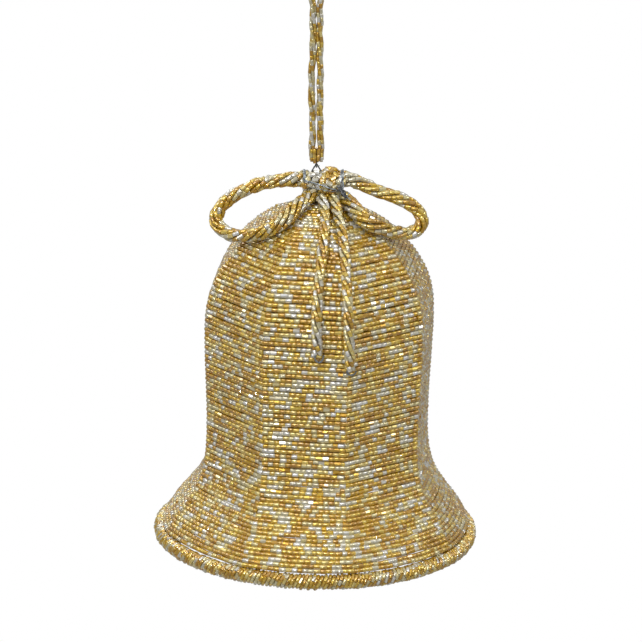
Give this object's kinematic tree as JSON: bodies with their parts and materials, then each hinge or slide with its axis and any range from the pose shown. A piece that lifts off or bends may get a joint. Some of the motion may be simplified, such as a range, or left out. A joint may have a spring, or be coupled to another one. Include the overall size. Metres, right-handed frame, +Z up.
{
  "type": "beaded bell ornament",
  "caption": "Bell-shaped Christmas ornament of gold and silver tube beads on a ribbed wire frame, with a rope bow at the crown, hung by a beaded loop.",
  "frame": {"origin": "underside of the hanger loop's top bend, where a hook or a twig carries it", "axes": "+Z up, -Y towards the front, where the bow's tails lie; +X to the right seen from the front"},
  "size_m": [0.1409, 0.1409, 0.2667],
  "materials": {
    "gold_and_silver_beads": "silver-lined glass tube beads, mostly gold with silver mixed in at random, on fine wire",
    "rim_beads": "silver-lined glass tube beads, gold and silver, coiled close round the hoop",
    "bow_beads": "silver-lined glass tube beads, gold and silver strands twisted into a rope",
    "hanger_beads": "silver-lined glass tube beads, gold and silver, on paired strands",
    "frame_wire": "drawn steel wire, dull golden grey",
    "dark_wire": "thin dark steel wire",
    "tie_wire": "thin bright blue-grey wire"
  },
  "bodies": {
    "hanger": {"hanger_loop": "hanger_beads", "hanger_gather": "hanger_beads", "hanger_eye": "dark_wire"},
    "link": {"hanger_link": "dark_wire"},
    "bell": {"bead_panel_1": "gold_and_silver_beads", "bead_panel_2": "gold_and_silver_beads", "bead_panel_3": "gold_and_silver_beads", "bead_panel_4": "gold_and_silver_beads", "bead_panel_5": "gold_and_silver_beads", "bead_panel_6": "gold_and_silver_beads", "bead_panel_7": "gold_and_silver_beads", "bead_panel_8": "gold_and_silver_beads", "rim_bead_wrap": "rim_beads", "bow_knot": "bow_beads", "bow_loop_left": "bow_beads", "bow_loop_right": "bow_beads", "bow_tail_left": "bow_beads", "bow_tail_right": "bow_beads", "rib_1": "frame_wire", "rib_2": "frame_wire", "rib_3": "frame_wire", "rib_4": "frame_wire", "rib_5": "frame_wire", "rib_6": "frame_wire", "rib_7": "frame_wire", "rib_8": "frame_wire", "rim_hoop": "frame_wire", "crown_collar": "frame_wire", "crown_bail": "dark_wire", "tie_wire": "tie_wire", "tie_wire_twist": "tie_wire", "tail_hook_left": "tie_wire", "tail_hook_right": "tie_wire"}
  },
  "joints": [
    {"name": "side_swing", "type": "hinge", "parent": "hanger", "child": "link", "pos_m": [0, 0, -0.0901], "axis": [0, 1, 0], "range_deg": [-45, 45]},
    {"name": "front_swing", "type": "hinge", "parent": "link", "child": "bell", "pos_m": [0, 0, -0.0924], "axis": [1, 0, 0], "range_deg": [-45, 45]}
  ]
}
